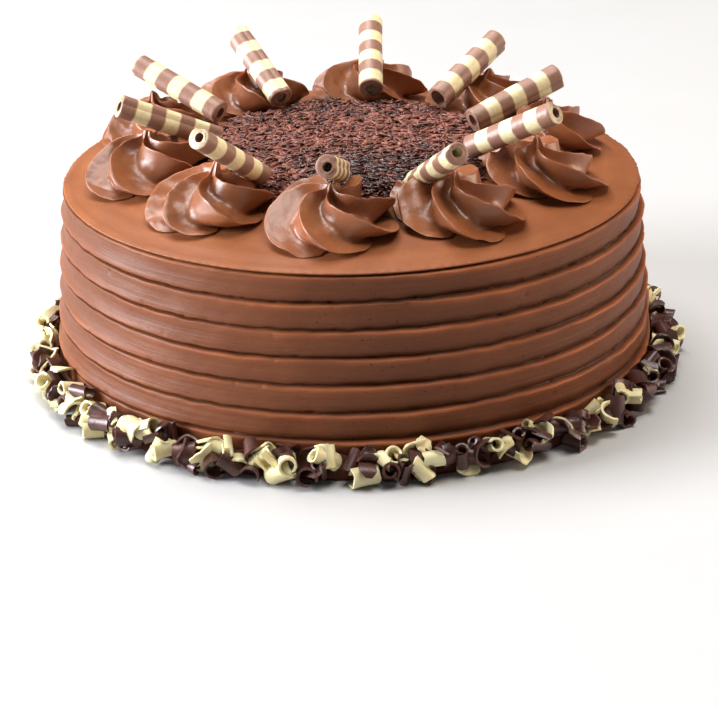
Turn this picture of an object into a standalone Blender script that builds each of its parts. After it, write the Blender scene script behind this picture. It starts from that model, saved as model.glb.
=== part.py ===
"""Black forest cake: a round iced cake with combed sides, ten piped rosettes, ten striped chocolate
rolls, a bed of chocolate sprinkles and a ring of chocolate curls round its foot.

The origin is the middle of the flat underside, +Z is up and -Y faces the viewer. Lengths are metres.
An azimuth is measured round the cake from -Y, in degrees, and grows towards +X.
"""

import math
import random

import bmesh
import bpy
from mathutils import Matrix, Vector

# The iced cake
RIM_RADIUS = 0.115
CREASE_HEIGHT = 0.076
SIDE_FLARE = 0.007
BAND_HEIGHT = 0.0104
BAND_COUNT = 7
GROOVE_DEPTH = 0.0014
LIP_HEIGHT = 0.0012
DOME_HEIGHT = 0.0103
DOME_POWER = 2.2
CAKE_STEPS = 44
GAP = 0.0003

# The piped rosettes
ROSETTE_LOBES = 6
# Up a crest: share of the radius, share of the swirl's height, and how far round it turns in degrees
CREST_PATH = (
    (0.88, 0.00, 132), (1.10, 0.14, 100), (1.10, 0.45, 74), (0.89, 0.76, 56), (0.50, 0.95, 25), (0.12, 1.00, 0),
)
# Up the middle of the trough beside it: share of the radius and of the swirl's height
TROUGH_PATH = ((0.60, 0.00), (0.69, 0.17), (0.65, 0.33), (0.52, 0.48), (0.26, 0.63), (0.07, 0.86))
# Place of each point between one crest and the next, and how far it is down into the trough
LOBE_POINTS = ((0.0, 0.0), (0.12, 0.71), (0.34, 0.99), (0.72, 0.70))
TIP_SHARE = 0.03
WIDEST_CREST = 1.12
# Azimuth, distance from the cake's axis, radius, height, how far the peak leans in X and Y, first lobe
ROSETTES = (
    (-5, 0.0815, 0.0232, 0.0168, 0.0000, 0.0000, 0),
    (29, 0.0815, 0.0230, 0.0172, -0.0010, 0.0000, 15),
    (66, 0.0812, 0.0228, 0.0173, -0.0022, 0.0000, 13),
    (101, 0.0808, 0.0224, 0.0180, 0.0005, 0.0010, 50),
    (136, 0.0820, 0.0222, 0.0186, 0.0025, 0.0010, 5),
    (174, 0.0808, 0.0225, 0.0192, 0.0000, 0.0010, 28),
    (212, 0.0805, 0.0224, 0.0192, 0.0000, 0.0010, 44),
    (248, 0.0840, 0.0216, 0.0200, -0.0030, 0.0025, 15),
    (284, 0.0835, 0.0228, 0.0196, 0.0025, 0.0018, 55),
    (319, 0.0820, 0.0224, 0.0200, 0.0040, 0.0000, 33),
)
# Share of each rosette's height below its drawn-out tip
SWIRL_SHARE = (0.86, 0.86, 0.80, 0.86, 0.84, 0.84, 0.84, 0.80, 0.84, 0.74)

# The rolled chocolate sticks
ROLL_LENGTH = 0.0425
ROLL_TURNS = 1.4
ROLL_PITCH = 0.00170
ROLL_SHEET = 0.00140
ROLL_POINTS_A_TURN = 12
# Inner end: azimuth, distance from the axis and height of its middle; then heading, lift and radius
ROLLS = (
    (-4, 0.0535, 0.0943, -7, 21, 0.0047),
    (23, 0.0602, 0.0908, 24, 31, 0.0049),
    (60, 0.0540, 0.0943, 55, 28, 0.0050),
    (99, 0.0500, 0.0943, 119, 17, 0.0055),
    (137, 0.0542, 0.0945, 138, 22.5, 0.0056),
    (170, 0.0537, 0.0950, 179, 26.5, 0.0054),
    (213, 0.0527, 0.0945, 211, 27.5, 0.0054),
    (250, 0.0562, 0.0960, 238, 20, 0.0054),
    (280, 0.0530, 0.0943, 286, 24, 0.0050),
    (328, 0.0632, 0.0943, 323, 34, 0.0048),
)

# The bed of sprinkles
BED_THICKNESS = 0.0032
BED_RADIUS = 0.0640
BED_POINTS = 40
# Share of the bed's radius and share of its thickness, from the middle of the underside to that of the top
BED_LEVELS = ((0.33, 0.0), (0.67, 0.0), (1.00, 0.0), (1.00, 0.55), (0.96, 1.0), (0.60, 1.0), (0.25, 1.0))
SPRINKLE_LENGTH = 0.0058
SPRINKLE_RADIUS = 0.0007
SPRINKLE_SIDES = 5
SPRINKLE_COUNT = 36

# The ring of chocolate curls
HEAP_POINTS = 54
HEAP_BUMP = 0.0014
# Distance from the axis and height of the heap's outer face, from the foot up to inside the cake's side
HEAP_PROFILE = ((0.1285, 0.0), (0.1288, 0.0042), (0.1256, 0.0092), (0.1200, 0.0122))
CURL_RADIUS = (0.0032, 0.0046)
CURL_WIDTH = (0.0075, 0.0105)
CURL_SHEET = 0.0012
CURL_ARC = (math.radians(190), math.radians(250))
CURL_STEPS = 3
# Distance from the axis, height and number of curls of each tier
CURL_TIERS = ((0.1292, 0.0042, 27), (0.1264, 0.0092, 25), (0.1236, 0.0122, 20))

# Colour, roughness
COLOURS = {
    "icing": ((0.26, 0.105, 0.045), 0.45),
    "roll": ((0.62, 0.46, 0.27), 0.40),
    "sprinkles": ((0.075, 0.022, 0.014), 0.45),
    "curls": ((0.30, 0.20, 0.11), 0.40),
}


def clear_scene():
    for obj in list(bpy.data.objects):
        bpy.data.objects.remove(obj)


def new_collection(name):
    collection = bpy.data.collections.new(name)
    bpy.context.scene.collection.children.link(collection)
    return collection


def material(name):
    found = bpy.data.materials.get(name)
    if found:
        return found
    colour, roughness = COLOURS[name]
    made = bpy.data.materials.new(name)
    made.use_nodes = True
    shader = made.node_tree.nodes["Principled BSDF"]
    shader.inputs["Base Color"].default_value = (*colour, 1.0)
    shader.inputs["Roughness"].default_value = roughness
    made.diffuse_color = (*colour, 1.0)
    return made


def add_object(name, data, collection, material_name=None):
    obj = bpy.data.objects.new(name, data)
    collection.objects.link(obj)
    if material_name:
        data.materials.append(material(material_name))
    return obj


def as_cutter(obj):
    obj.hide_render = True
    obj.display_type = "WIRE"
    return obj


def mesh_from(bm, name, smooth_angle=None):
    bmesh.ops.recalc_face_normals(bm, faces=bm.faces[:])
    mesh = bpy.data.meshes.new(name)
    bm.to_mesh(mesh)
    bm.free()
    if smooth_angle:
        mesh.shade_smooth()
        mesh.set_sharp_from_angle(angle=smooth_angle)
    return mesh


def loft(rings):
    """A closed bmesh through rings of equally many points, with a cap on the first and the last ring."""
    bm = bmesh.new()
    rows = [[bm.verts.new(point) for point in ring] for ring in rings]
    count = len(rows[0])
    for lower, upper in zip(rows, rows[1:]):
        for i in range(count):
            j = (i + 1) % count
            bm.faces.new((lower[i], lower[j], upper[j], upper[i]))
    caps = [bm.faces.new(rows[0][::-1]), bm.faces.new(rows[-1])]
    return bm, caps


def direction(azimuth):
    """The level unit vector that points away from the axis at this azimuth."""
    angle = math.radians(azimuth)
    return Vector((math.sin(angle), -math.cos(angle), 0.0))


def side_radius(height):
    return RIM_RADIUS + SIDE_FLARE * (CREASE_HEIGHT - height) / CREASE_HEIGHT


def top_height(radius):
    share = min(radius / RIM_RADIUS, 1.0)
    return CREASE_HEIGHT + LIP_HEIGHT + DOME_HEIGHT * (1.0 - share**DOME_POWER)


def turned(name, profile, collection, material_name=None, steps=CAKE_STEPS):
    """An object turned about Z from a profile of (radius, height) points that runs top to bottom."""
    mesh = bpy.data.meshes.new(name)
    mesh.from_pydata(
        [(radius, 0.0, height) for radius, height in profile],
        [(i, i + 1) for i in range(len(profile) - 1)],
        [],
    )
    obj = add_object(name, mesh, collection, material_name)
    screw = obj.modifiers.new("Turn", "SCREW")
    screw.axis = "Z"
    screw.steps = steps
    screw.render_steps = steps
    screw.use_merge_vertices = True
    screw.merge_threshold = 0.00001
    return obj


def cake_profile():
    """Domed top, then the combed bands down the side: a groove between two shoulders on each band."""
    points = [(RIM_RADIUS * share, top_height(RIM_RADIUS * share)) for share in (0.0, 0.35, 0.6, 0.8, 0.93)]
    points.append((RIM_RADIUS - 0.0006, CREASE_HEIGHT + 0.9 * LIP_HEIGHT))
    shoulder = 0.16 * BAND_HEIGHT
    for band in range(BAND_COUNT + 1):
        groove = CREASE_HEIGHT - band * BAND_HEIGHT
        points.append((side_radius(groove) - GROOVE_DEPTH, groove))
        points.append((side_radius(groove - shoulder), groove - shoulder))
        if band < BAND_COUNT:
            lower = groove - BAND_HEIGHT + shoulder
            points.append((side_radius(lower), lower))
    points.append((side_radius(0.0), 0.0))
    points.append((0.0, 0.0))
    return points


def roll_axis(row):
    """The middle of the stick's inner end and the unit vector along it, outwards and up."""
    azimuth, distance, height, heading, lift, _ = row
    start = direction(azimuth) * distance + Vector((0, 0, height))
    rise = math.radians(lift)
    along = direction(heading) * math.cos(rise) + Vector((0, 0, math.sin(rise)))
    return start, along


def roll_outline(outer_radius):
    """The coiled sheet's cross-section: out along its outer face and back along its inner face."""
    count = round(ROLL_TURNS * ROLL_POINTS_A_TURN)
    outer, inner = [], []
    for i in range(count + 1):
        turns = ROLL_TURNS * i / count
        radius = outer_radius - ROLL_PITCH * turns
        angle = 2 * math.pi * turns
        ray = Vector((math.cos(angle), math.sin(angle), 0.0))
        outer.append(ray * radius)
        inner.append(ray * (radius - ROLL_SHEET))
    return outer + inner[::-1]


def add_roll(number, row, collection):
    name = f"chocolate_roll_{number:02d}"
    outline = roll_outline(row[-1])
    curve = bpy.data.curves.new(name, "CURVE")
    curve.dimensions = "2D"
    curve.fill_mode = "BOTH"
    curve.extrude = ROLL_LENGTH / 2
    spline = curve.splines.new("POLY")
    spline.points.add(len(outline) - 1)
    for point, place in zip(spline.points, outline):
        point.co = (*place, 1.0)
    spline.use_cyclic_u = True
    obj = add_object(name, curve, collection, "roll")
    start, along = roll_axis(row)
    obj.rotation_mode = "QUATERNION"
    obj.rotation_quaternion = along.to_track_quat("Z", "Y")
    obj.location = start + along * (ROLL_LENGTH / 2)
    return obj


def add_roll_cutter(number, row, collection):
    """A plain cylinder a gap wider and longer than the stick, for what it is pressed into."""
    radius = row[-1] + 2 * GAP
    bm = bmesh.new()
    bmesh.ops.create_cone(
        bm, cap_ends=True, segments=16, radius1=radius, radius2=radius, depth=ROLL_LENGTH + 4 * GAP
    )
    obj = add_object(f"roll_cutter_{number:02d}", mesh_from(bm, "roll_cutter"), collection)
    start, along = roll_axis(row)
    obj.rotation_mode = "QUATERNION"
    obj.rotation_quaternion = along.to_track_quat("Z", "Y")
    obj.location = start + along * (ROLL_LENGTH / 2)
    return as_cutter(obj)


def cut_by(obj, cutters, name):
    cut = obj.modifiers.new(name, "BOOLEAN")
    cut.operation = "DIFFERENCE"
    cut.operand_type = "COLLECTION"
    cut.collection = cutters


def rosette_foot(row):
    return direction(row[0]) * row[1]


def contact_planes(number):
    """Where the next rosette on either side begins: a level unit vector and the distance along it."""
    row = ROSETTES[number]
    planes = []
    for other in (ROSETTES[number - 1], ROSETTES[(number + 1) % len(ROSETTES)]):
        apart = rosette_foot(other) - rosette_foot(row)
        share = row[2] / (row[2] + other[2])
        planes.append((apart.normalized(), apart.length * share - GAP))
    return planes


def add_rosette(number, collection):
    """A star-tip swirl: thin crests and deep troughs that turn as they rise to a drawn-out tip, draped
    on the domed top, pressed flat where it meets its neighbours."""
    row = ROSETTES[number]
    _, distance, radius, height, lean_x, lean_y, turn = row
    foot = rosette_foot(row)
    lean = Vector((lean_x, lean_y, 0.0))
    planes = contact_planes(number)
    rings = []
    for crest, trough in zip(CREST_PATH, TROUGH_PATH):
        ring = []
        for lobe in range(ROSETTE_LOBES):
            for place, down in LOBE_POINTS:
                angle = 2 * math.pi * (lobe + place) / ROSETTE_LOBES + math.radians(turn + crest[2])
                share = crest[0] * (1 - down) + trough[0] * down
                level = crest[1] * (1 - down) + trough[1] * down
                ring.append((angle, share, level * SWIRL_SHARE[number]))
        rings.append(ring)
    rings.append([(angle, TIP_SHARE, 1.0) for angle, _, _ in rings[-1]])
    for ring in rings:
        for i, (angle, share, level) in enumerate(ring):
            offset = Vector((math.cos(angle), math.sin(angle), 0.0)) * (radius * share) + lean * level
            for normal, limit in planes:
                offset -= normal * max(0.0, offset.dot(normal) - limit)
            ground = top_height((foot + offset).length)
            ring[i] = (offset.x, offset.y, ground + 1.5 * GAP + height * level)
    bm, caps = loft(rings)
    middle = bmesh.ops.poke(bm, faces=[caps[0]])["verts"][0]
    middle.co.z = top_height(distance) + 1.5 * GAP
    name = f"rosette_{number + 1:02d}"
    obj = add_object(name, mesh_from(bm, name, math.radians(50)), collection, "icing")
    obj.location = foot
    return obj


def bed_reach(angle):
    """How far the sprinkles spread in this direction: to the bed's edge, or to the nearest rosette."""
    ray = Vector((math.cos(angle), math.sin(angle), 0.0))
    reach = BED_RADIUS
    for row in ROSETTES:
        foot = rosette_foot(row)
        clear = row[2] * WIDEST_CREST + 2 * GAP
        along = foot.dot(ray)
        off = (foot - ray * along).length
        if along > 0 and off < clear:
            reach = min(reach, along - math.sqrt(clear**2 - off**2))
    return reach


def add_bed_core(collection):
    reaches = [bed_reach(2 * math.pi * i / BED_POINTS) for i in range(BED_POINTS)]
    rings = []
    for radius_share, height_share in BED_LEVELS:
        ring = []
        for i, reach in enumerate(reaches):
            angle = 2 * math.pi * i / BED_POINTS
            radius = (reach - GAP) * radius_share
            height = top_height(radius) + 1.5 * GAP + BED_THICKNESS * height_share
            ring.append((radius * math.cos(angle), radius * math.sin(angle), height))
        rings.append(ring)
    bm, caps = loft(rings)
    for cap, lift in zip(caps, (0.0, BED_THICKNESS)):
        middle = bmesh.ops.poke(bm, faces=[cap])["verts"][0]
        middle.co.z = top_height(0.0) + 1.5 * GAP + lift
    return add_object("sprinkle_bed", mesh_from(bm, "sprinkle_bed"), collection, "sprinkles")


def add_sprinkle(number, draw, collection):
    """A short rod lying half sunk in the bed, placed by a sunflower spiral."""
    golden = math.pi * (3 - math.sqrt(5))
    angle = number * golden
    share = math.sqrt((number + 0.5) / SPRINKLE_COUNT)
    radius = (bed_reach(angle) - 0.6 * SPRINKLE_LENGTH) * share
    bm = bmesh.new()
    bmesh.ops.create_cone(
        bm, cap_ends=True, segments=SPRINKLE_SIDES, radius1=SPRINKLE_RADIUS, radius2=SPRINKLE_RADIUS,
        depth=SPRINKLE_LENGTH,
    )
    obj = add_object(f"sprinkle_{number:02d}", mesh_from(bm, "sprinkle"), collection)
    obj.location = (
        radius * math.cos(angle),
        radius * math.sin(angle),
        top_height(radius) + 1.5 * GAP + BED_THICKNESS + 0.2 * SPRINKLE_RADIUS,
    )
    tip = math.radians(90 + draw.uniform(-9, 9))
    obj.rotation_euler = (tip, 0.0, draw.uniform(0, math.pi))
    return obj


def curl_rings(draw):
    """The sections of one curl: a strip bent round an arc about X, a little narrower at its ends."""
    radius = draw.uniform(*CURL_RADIUS)
    half_width = draw.uniform(*CURL_WIDTH) / 2
    arc = draw.uniform(*CURL_ARC)
    rings = []
    for i in range(CURL_STEPS + 1):
        share = i / CURL_STEPS
        angle = arc * (share - 0.5)
        half = half_width * (0.72 + 0.28 * math.sin(math.pi * share))
        section = []
        for reach, side in ((0, -1), (CURL_SHEET, -1), (CURL_SHEET, 1), (0, 1)):
            out = radius - CURL_SHEET + reach
            section.append((side * half, out * math.sin(angle), out * math.cos(angle)))
        rings.append(section)
    return rings


def add_curl(number, azimuth, distance, height, draw, collection):
    bm, _ = loft(curl_rings(draw))
    turn = Matrix.Rotation(math.radians(azimuth) + draw.uniform(-1.2, 1.2), 4, "Z")
    tilt = Matrix.Rotation(draw.uniform(-0.7, 0.7), 4, "Y")
    roll = Matrix.Rotation(draw.uniform(0, 2 * math.pi), 4, "X")
    bmesh.ops.transform(bm, matrix=turn @ tilt @ roll, verts=bm.verts[:])
    lowest = min(vertex.co.z for vertex in bm.verts)
    place = direction(azimuth) * distance
    place.z = max(height, GAP - lowest)
    bmesh.ops.translate(bm, vec=place, verts=bm.verts[:])
    return add_object(f"curl_{number:02d}", mesh_from(bm, "curl"), collection)


def apply_modifiers(obj):
    graph = bpy.context.evaluated_depsgraph_get()
    graph.update()
    mesh = bpy.data.meshes.new_from_object(obj.evaluated_get(graph), depsgraph=graph)
    obj.modifiers.clear()
    obj.data = mesh


def fuse(obj, loose):
    """Joins everything in the loose collection to the object and removes the collection."""
    union = obj.modifiers.new("Fuse", "BOOLEAN")
    union.operation = "UNION"
    union.operand_type = "COLLECTION"
    union.collection = loose
    apply_modifiers(obj)
    for member in list(loose.objects):
        bpy.data.objects.remove(member)
    bpy.data.collections.remove(loose)


def drop_scraps(obj):
    """Keeps the largest connected body of the mesh."""
    bm = bmesh.new()
    bm.from_mesh(obj.data)
    left = set(bm.verts)
    islands = []
    while left:
        island, edge = set(), [left.pop()]
        while edge:
            vertex = edge.pop()
            island.add(vertex)
            near = {e.other_vert(vertex) for e in vertex.link_edges} & left
            left -= near
            edge.extend(near)
        islands.append(island)
    islands.sort(key=len)
    scraps = [vertex for island in islands[:-1] for vertex in island]
    bmesh.ops.delete(bm, geom=scraps, context="VERTS")
    bm.to_mesh(obj.data)
    bm.free()


def add_sprinkle_bed(collection, roll_cutters):
    bed = add_bed_core(collection)
    loose = new_collection("loose_sprinkles")
    draw = random.Random(7)
    for number in range(SPRINKLE_COUNT):
        add_sprinkle(number, draw, loose)
    fuse(bed, loose)
    cut_by(bed, roll_cutters, "Rolls")
    return bed


def add_heap_core(draw, collection):
    """A low bank of uneven height round the cake's foot; its middle is cut away for the cake."""
    rings = []
    for distance, height in HEAP_PROFILE:
        ring = []
        for i in range(HEAP_POINTS):
            angle = 2 * math.pi * i / HEAP_POINTS
            radius = distance + draw.uniform(-HEAP_BUMP, HEAP_BUMP)
            rise = draw.uniform(-HEAP_BUMP, HEAP_BUMP) if height else 0.0
            ring.append((radius * math.cos(angle), radius * math.sin(angle), height + rise))
        rings.append(ring)
    inner_radius, inner_height = HEAP_PROFILE[-1][0] - 0.01, HEAP_PROFILE[-1][1]
    rings.append([(x * inner_radius / 0.12, y * inner_radius / 0.12, inner_height) for x, y, _ in rings[0]])
    bm, _ = loft(rings)
    return add_object("chocolate_curls", mesh_from(bm, "chocolate_curls"), collection, "curls")


def add_curl_ring(collection, cutters):
    """The bank round the cake's foot with the curls that show fused on, all clear of the cake."""
    draw = random.Random(11)
    heap = add_heap_core(draw, collection)
    loose = new_collection("loose_curls")
    number = 0
    for tier, (distance, height, count) in enumerate(CURL_TIERS):
        for i in range(count):
            azimuth = 360 * (i + tier / len(CURL_TIERS)) / count + draw.uniform(-2, 2)
            add_curl(number, azimuth, distance, height, draw, loose)
            number += 1
    fuse(heap, loose)
    top, bottom = 0.04, -0.01
    clear_profile = [
        (0.0, top), (side_radius(top) + 2 * GAP, top), (side_radius(bottom) + 2 * GAP, bottom), (0.0, bottom),
    ]
    as_cutter(turned("foot_clearance", clear_profile, cutters, steps=HEAP_POINTS))
    cut_by(heap, cutters, "Cake")
    apply_modifiers(heap)
    drop_scraps(heap)
    return heap


def main():
    clear_scene()
    parts = new_collection("black_forest_cake")
    roll_cutters = new_collection("roll_cutters")
    foot_cutters = new_collection("foot_cutters")

    turned("iced_cake", cake_profile(), parts, "icing")
    for number, row in enumerate(ROLLS, start=1):
        add_roll(number, row, parts)
        add_roll_cutter(number, row, roll_cutters)
    for number in range(len(ROSETTES)):
        cut_by(add_rosette(number, parts), roll_cutters, "Rolls")
    add_sprinkle_bed(parts, roll_cutters)
    add_curl_ring(parts, foot_cutters)


main()
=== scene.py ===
"""Looks of the black forest cake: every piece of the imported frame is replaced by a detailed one.

The frame's origin is the middle of the cake's flat underside, +Z is up and -Y faces the viewer. Lengths
are metres. An azimuth is measured round the cake from -Y, in degrees, and grows towards +X.
"""

import math

import bpy
import numpy as np
from mathutils import Matrix, Vector


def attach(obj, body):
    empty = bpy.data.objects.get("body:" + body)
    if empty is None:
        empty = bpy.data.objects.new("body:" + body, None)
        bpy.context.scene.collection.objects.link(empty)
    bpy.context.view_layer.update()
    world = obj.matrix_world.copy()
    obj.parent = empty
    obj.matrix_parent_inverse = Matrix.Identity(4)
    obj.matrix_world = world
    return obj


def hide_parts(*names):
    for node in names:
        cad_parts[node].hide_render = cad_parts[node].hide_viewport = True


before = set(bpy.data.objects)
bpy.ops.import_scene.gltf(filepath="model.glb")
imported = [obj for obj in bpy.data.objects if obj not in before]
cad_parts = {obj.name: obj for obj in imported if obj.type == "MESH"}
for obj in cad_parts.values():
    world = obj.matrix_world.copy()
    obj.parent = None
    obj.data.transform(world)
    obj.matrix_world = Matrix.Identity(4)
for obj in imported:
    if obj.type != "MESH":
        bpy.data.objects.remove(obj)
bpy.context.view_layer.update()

MM = 0.001

# The iced cake, as in the frame
RIM_RADIUS = 0.115
CREASE_HEIGHT = 0.076
SIDE_FLARE = 0.007
BAND_HEIGHT = 0.0104
BAND_COUNT = 7
LIP_HEIGHT = 0.0012
DOME_HEIGHT = 0.0103
DOME_POWER = 2.2
# Left free between neighbouring pieces
GAP = 0.0003
CAKE_COLUMNS = 1080
# Width of one column of the side in mm
COLUMN_WIDTH = 0.71

# Share of a band's height below its upper groove, and how far the icing stands out there in mm: where
# the grooves are narrow, and where they are wide
BAND_SHAPE = (
    (0.00, -1.40, -1.55), (0.012, -1.25, -1.52), (0.028, -0.60, -1.25), (0.045, -0.05, -0.50),
    (0.07, 0.16, 0.38), (0.11, 0.10, 0.78), (0.19, -0.14, 0.60), (0.31, -0.29, 0.20),
    (0.45, -0.29, 0.00), (0.57, -0.17, -0.10), (0.68, 0.04, -0.18), (0.77, 0.28, -0.34),
    (0.85, 0.52, -0.66), (0.905, 0.63, -1.02), (0.945, 0.46, -1.30), (0.97, -0.10, -1.45),
    (0.982, -0.75, -1.52), (0.993, -1.25, -1.55),
)
# Where the grooves are widest, and how sharply they widen towards there
WIDE_GROOVES_AZIMUTH = 62
WIDENING = 0.9
# Share of a band's height, and how pale the icing is there by the narrow grooves and by the wide ones:
# painted shade in the grooves where under 1, painted highlights on the lit lips where over 1
BAND_PAINTED_LIGHT = (
    (0.00, 0.45, 0.48), (0.03, 0.80, 0.60), (0.06, 1.00, 1.40), (0.10, 1.00, 2.00), (0.15, 1.00, 1.70),
    (0.25, 1.00, 1.20), (0.60, 1.00, 1.02), (0.78, 1.12, 0.88), (0.87, 1.45, 0.72), (0.93, 1.40, 0.62),
    (0.97, 0.70, 0.52), (1.00, 0.45, 0.48),
)
# How much of the lips' swelling shows in their painted highlights: least and most
SWELL_PAINTED_HIGHLIGHT = (0.3, 1.5)
# No row of the combed side comes lower than this
LOWEST_ROW = 0.0006
# Waverings round the cake, each as its size and its slowest and fastest number of waves: of a groove's
# height in mm, its depth, the swelling of its lips, the band's belly in mm and the rim's edge in mm
GROOVE_WAVER = ((0.28, 2, 9), (0.11, 15, 70))
GROOVE_DEPTH = ((0.16, 2, 14), (0.10, 30, 90))
LIP_SWELL = ((0.45, 3, 16), (0.12, 20, 70))
BAND_BELLY = ((0.17, 1, 8), (0.06, 10, 40))
RIM_WAVER = ((0.25, 8, 40), (0.16, 60, 200))
# How far the side swells as a whole in mm; the size of its lumps in metres and their height in mm, and how
# much longer than tall they are
SIDE_SWELL = 0.35
SIDE_LUMPS = ((0.018, 0.10), (0.006, 0.03))
LUMP_STRETCH = 2.6
# Height in mm of the palette knife's sweeps on the top, and of its waves and rings near the rim
KNIFE_SWEEP = 0.10
KNIFE_FINE = 0.09
KNIFE_ROUGH = 0.012
KNIFE_RINGS = 0.12
# Down the lip over the crease: inset from the rim in mm and share of the lip's height
LIP_PATH = ((0.9, 1.00), (0.25, 0.86), (-0.05, 0.62), (0.05, 0.36), (0.7, 0.16))
# How pale the icing is in the last rows of the lip: painted shade going down into the crease
LIP_PAINTED_SHADE = (0.8, 0.5)
# Pits and nicks of the side: their number, their shares of the grooves, how far from a groove they lie and
# how deep they are, in mm
TEARS = 620
TEARS_IN_BANDS = (4, 6, 3, 2, 2, 1, 1)
TEAR_SPREADS = (0.35, 0.5, 1.6)
TEAR_DEPTHS = (-0.10, 0.45, 0.7)
TEAR_COLUMNS = 6

# The piped rosettes, as in the frame
ROSETTE_LOBES = 6
CREST_SKEW = 0.05
CREST_ROUNDING = 0.044
LOBE_COLUMNS = 36
LOBE_SAMPLES = 600
ROSETTE_ROWS = 64
# How much closer together the columns are at the crests, and how a lobe falls from its crest
CREST_CROWDING = 0.105
LOBE_LEAN = 0.70
LOBE_POWER = 0.78
# The foot: number and width of its lumps, how far they and all of it spread as shares of the radius, and
# how fast that fades upwards
FOOT_LUMPS = 5
FOOT_LUMP_WIDTH = 0.13
FOOT_LUMP_SPREAD = 0.085
FOOT_SPREAD = 0.045
FOOT_FADE = 8.0
# Size in metres and height in mm of the lumps all over a rosette
ROSETTE_LUMPS = ((0.007, 0.28), (0.0024, 0.07))
# Up the drawn-out tip: share of the radius, and how far up the tip
TIP_PATH = ((0.10, 0.2), (0.08, 0.5), (0.055, 0.8), (0.02, 1.0))
# Down a crest: share of the radius, share of the swirl's height, and how far round it has turned in degrees
CREST_PATH = (
    (0.12, 1.00, 0), (0.25, 0.99, 10), (0.46, 0.96, 23), (0.69, 0.89, 41), (0.89, 0.76, 56),
    (1.05, 0.57, 68), (1.12, 0.37, 78), (1.12, 0.19, 93), (1.04, 0.05, 116), (0.88, 0.00, 132),
)
# Down the middle of a trough beside it: share of the radius and of the swirl's height
TROUGH_PATH = (
    (0.07, 0.86), (0.13, 0.73), (0.24, 0.64), (0.38, 0.57), (0.52, 0.48),
    (0.63, 0.36), (0.69, 0.23), (0.70, 0.11), (0.66, 0.03), (0.60, 0.00),
)
# Azimuth, distance from the cake's axis, radius, height, how far the peak leans in X and Y, first lobe
ROSETTES = (
    (-5, 0.0815, 0.0232, 0.0168, 0.0000, 0.0000, 0),
    (29, 0.0815, 0.0230, 0.0172, -0.0010, 0.0000, 15),
    (66, 0.0812, 0.0228, 0.0173, -0.0022, 0.0000, 13),
    (101, 0.0808, 0.0224, 0.0180, 0.0005, 0.0010, 50),
    (136, 0.0820, 0.0222, 0.0186, 0.0025, 0.0010, 5),
    (174, 0.0808, 0.0225, 0.0192, 0.0000, 0.0010, 28),
    (212, 0.0805, 0.0224, 0.0192, 0.0000, 0.0010, 44),
    (248, 0.0840, 0.0216, 0.0200, -0.0030, 0.0025, 15),
    (284, 0.0835, 0.0228, 0.0196, 0.0025, 0.0018, 55),
    (319, 0.0820, 0.0224, 0.0200, 0.0040, 0.0000, 33),
)
# Share of each rosette's height below its drawn-out tip
SWIRL_SHARE = (0.86, 0.86, 0.80, 0.86, 0.84, 0.84, 0.84, 0.80, 0.84, 0.74)

# The rolled chocolate sticks, as in the frame
ROLL_LENGTH = 0.0425
ROLL_PITCH = 0.00145
ROLL_SHEET = 0.00130
ROLL_COLUMNS_A_TURN = 40
ROLL_ROWS = 34
STRIPE = 0.0061
# The coil's thin outer edge: over how much of a turn it thins, and what is left of it in mm
TUCK_TURNS = 0.05
TUCK_SHEET = 0.12
# How ragged the ends are in mm, and the least angle of a sharp edge in degrees
ROLL_RAGGED = 0.16
ROLL_SHARP = 55
# Inner end: azimuth, distance from the axis and height of its middle; then heading, lift and radius
ROLLS = (
    (-4, 0.0535, 0.0943, -7, 21, 0.0047),
    (23, 0.0602, 0.0908, 24, 31, 0.0049),
    (60, 0.0540, 0.0943, 55, 28, 0.0050),
    (99, 0.0500, 0.0943, 119, 17, 0.0055),
    (137, 0.0542, 0.0945, 138, 22.5, 0.0056),
    (170, 0.0537, 0.0950, 179, 26.5, 0.0054),
    (213, 0.0527, 0.0945, 211, 27.5, 0.0054),
    (250, 0.0562, 0.0960, 238, 20, 0.0054),
    (280, 0.0530, 0.0943, 286, 24, 0.0050),
    (328, 0.0632, 0.0943, 323, 34, 0.0048),
)
# Turns of the coil, turn of its outer edge round the stick in degrees, and where the stripes begin
ROLL_LOOKS = (
    (2.00, 20, 0.35), (1.95, 150, 0.15), (2.05, 60, 1.03), (1.95, 200, 1.06), (0.98, 215, 1.06),
    (2.00, 300, 1.80), (1.90, 100, 1.72), (2.05, 330, 1.07), (1.95, 40, 1.03), (2.00, 120, 1.03),
)

# The bed of sprinkles
BED_RADIUS = 0.0640
BED_THICKNESS = 0.0032
BED_COLUMNS = 160
BED_ROWS = 36
# How far the heap falls off at its edge, and how far the loose sprinkles lie under and over it in mm
BED_EDGE = 0.006
BED_LAYERS = (-0.5, 0.75)
# Size in metres and height in mm of the lumps under the loose sprinkles
BED_LUMPS = ((0.003, 0.22),)
# How far in mm the sprinkles keep from a stick, and spread past the bed's edge
STICK_CLEARANCE = 0.7
BED_OVERHANG = 0.4
# Number of sprinkles of each kind, their least and most length and radius in mm, their sides, how flat they
# are, and how freely they are rolled about their length
SPRINKLES = {
    "dark_sprinkles": (1700, (3.2, 5.2), (0.44, 0.56), 6, 1.0, 1.0),
    "milk_sprinkles": (3800, (2.0, 5.0), (0.38, 0.80), 5, 0.55, 0.3),
}
# Along a sprinkle of unit length: place and share of the radius
SPRINKLE_PATH = ((-0.5, 0.55), (-0.44, 1.0), (0.0, 1.06), (0.44, 1.0), (0.5, 0.5))

# The ring of chocolate curls
# Distance from the cake's axis and number of curls of each round, from the floor up
CURL_TIERS = ((0.1300, 78), (0.1262, 66), (0.1296, 70), (0.1268, 70), (0.1262, 62))
CURL_SHEET = 0.0011
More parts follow.
